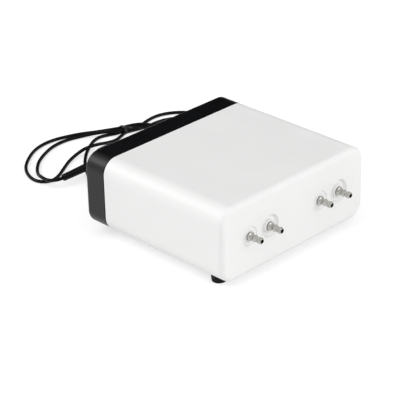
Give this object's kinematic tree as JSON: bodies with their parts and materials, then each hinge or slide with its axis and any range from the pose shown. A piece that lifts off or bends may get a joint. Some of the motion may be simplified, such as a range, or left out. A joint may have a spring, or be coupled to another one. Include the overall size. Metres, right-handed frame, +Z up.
{
  "type": "aquarium air pump",
  "caption": "Mains diaphragm air pump with a white shell, black rear cover, barbed air outlets in pairs and a tied mains cord.",
  "frame": {"origin": "on the surface that the pump stands on, midway between the outlet tips and the rear face, and midway between the sides", "axes": "+Z up, -Y out of the outlets at the front, +Y to the rear where the cord leaves, +X to the right seen from the front"},
  "size_m": [0.2113, 0.2903, 0.064],
  "materials": {
    "shell_white": "white moulded plastic with a satin surface",
    "cover_black": "black moulded plastic, fine matt surface",
    "seam_rubber": "black rubber cord",
    "foot_rubber": "soft dark rubber",
    "outlet_nickel": "nickel-plated turned brass",
    "seal_rubber": "black nitrile rubber",
    "intake_plastic": "black moulded plastic",
    "felt": "off-white pressed felt",
    "zinc_steel": "zinc-plated steel",
    "core_steel": "laminated electrical steel",
    "bobbin_nylon": "natural nylon",
    "copper": "enamelled copper wire",
    "isolator_rubber": "soft black rubber",
    "arm_plastic": "glass-filled dark plastic",
    "bronze": "sintered bronze",
    "magnet_ferrite": "dark grey ferrite",
    "diaphragm_rubber": "black moulded rubber",
    "head_plastic": "light grey moulded plastic",
    "flap_rubber": "thin dark rubber",
    "manifold_plastic": "grey moulded plastic",
    "hose_rubber": "black rubber",
    "cord_jacket": "black vinyl, slightly glossy",
    "plug_vinyl": "black moulded vinyl",
    "blade_brass": "nickel-plated brass",
    "tie_plastic": "dark plastic over thin wire",
    "wire_vinyl": "red vinyl"
  },
  "bodies": {
    "housing": {"main_shell": "shell_white", "rear_cover": "cover_black", "cover_gasket": "seam_rubber", "cover_screws": "zinc_steel", "feet": "foot_rubber", "intake_cover": "intake_plastic", "filter_pad": "felt", "outlet_far_left": "outlet_nickel", "outlet_inner_left": "outlet_nickel", "outlet_inner_right": "outlet_nickel", "outlet_far_right": "outlet_nickel", "outlet_seals": "seal_rubber", "chassis_plate": "zinc_steel", "isolators": "isolator_rubber", "chassis_screws": "zinc_steel", "magnet_core": "core_steel", "bobbin": "bobbin_nylon", "winding": "copper", "core_brackets": "zinc_steel", "pivot_brackets": "zinc_steel", "pivot_pins": "zinc_steel", "bracket_screws": "zinc_steel", "head_screws": "zinc_steel", "clamp_plates": "zinc_steel", "head_gaskets": "seal_rubber", "head_bolts": "zinc_steel", "head_nuts": "zinc_steel", "air_elbows": "hose_rubber", "cord_gland": "plug_vinyl", "inner_cord": "cord_jacket", "cord_clamp": "intake_plastic", "clamp_screws": "zinc_steel", "lead_wires": "wire_vinyl", "cord_lead": "cord_jacket", "cord_hank": "cord_jacket", "cord_tail": "cord_jacket", "twist_tie": "tie_plastic", "plug": "plug_vinyl", "plug_blades": "blade_brass", "left_diaphragm": "diaphragm_rubber", "left_head_body": "head_plastic", "left_head_cap": "head_plastic", "left_manifold": "manifold_plastic", "right_diaphragm": "diaphragm_rubber", "right_head_body": "head_plastic", "right_head_cap": "head_plastic", "right_manifold": "manifold_plastic"},
    "left_swing_arm": {"left_arm": "arm_plastic", "left_arm_bush": "bronze", "left_magnet": "magnet_ferrite", "left_diaphragm_stud": "zinc_steel"},
    "left_intake_valve": {"left_intake_flap": "flap_rubber"},
    "left_exhaust_valve": {"left_exhaust_flap": "flap_rubber"},
    "right_swing_arm": {"right_arm": "arm_plastic", "right_arm_bush": "bronze", "right_magnet": "magnet_ferrite", "right_diaphragm_stud": "zinc_steel"},
    "right_intake_valve": {"right_intake_flap": "flap_rubber"},
    "right_exhaust_valve": {"right_exhaust_flap": "flap_rubber"}
  },
  "joints": [
    {"name": "left_arm_swing", "type": "hinge", "parent": "housing", "child": "left_swing_arm", "pos_m": [-0.035, 0.047, 0.0356], "axis": [0, 0, 1], "range_deg": [-1.5, 1.5], "stiffness_Nm_per_rad": 1.5, "deforming": ["left_diaphragm"]},
    {"name": "left_intake_flap_lift", "type": "hinge", "parent": "housing", "child": "left_intake_valve", "pos_m": [-0.0522, -0.0115, 0.0396], "axis": [0, -1, 0], "range_deg": [0, 10], "stiffness_Nm_per_rad": 0.0005},
    {"name": "left_exhaust_flap_lift", "type": "hinge", "parent": "housing", "child": "left_exhaust_valve", "pos_m": [-0.0558, -0.0245, 0.0396], "axis": [0, 1, 0], "range_deg": [0, 10], "stiffness_Nm_per_rad": 0.0005},
    {"name": "right_arm_swing", "type": "hinge", "parent": "housing", "child": "right_swing_arm", "pos_m": [0.035, 0.047, 0.0356], "axis": [0, 0, 1], "range_deg": [-1.5, 1.5], "stiffness_Nm_per_rad": 1.5, "deforming": ["right_diaphragm"]},
    {"name": "right_intake_flap_lift", "type": "hinge", "parent": "housing", "child": "right_intake_valve", "pos_m": [0.0522, -0.0115, 0.0396], "axis": [0, 1, 0], "range_deg": [0, 10], "stiffness_Nm_per_rad": 0.0005},
    {"name": "right_exhaust_flap_lift", "type": "hinge", "parent": "housing", "child": "right_exhaust_valve", "pos_m": [0.0558, -0.0245, 0.0396], "axis": [0, -1, 0], "range_deg": [0, 10], "stiffness_Nm_per_rad": 0.0005}
  ],
  "couplings": [
    {"joint": "right_arm_swing", "follows": "left_arm_swing", "ratio": -1}
  ]
}
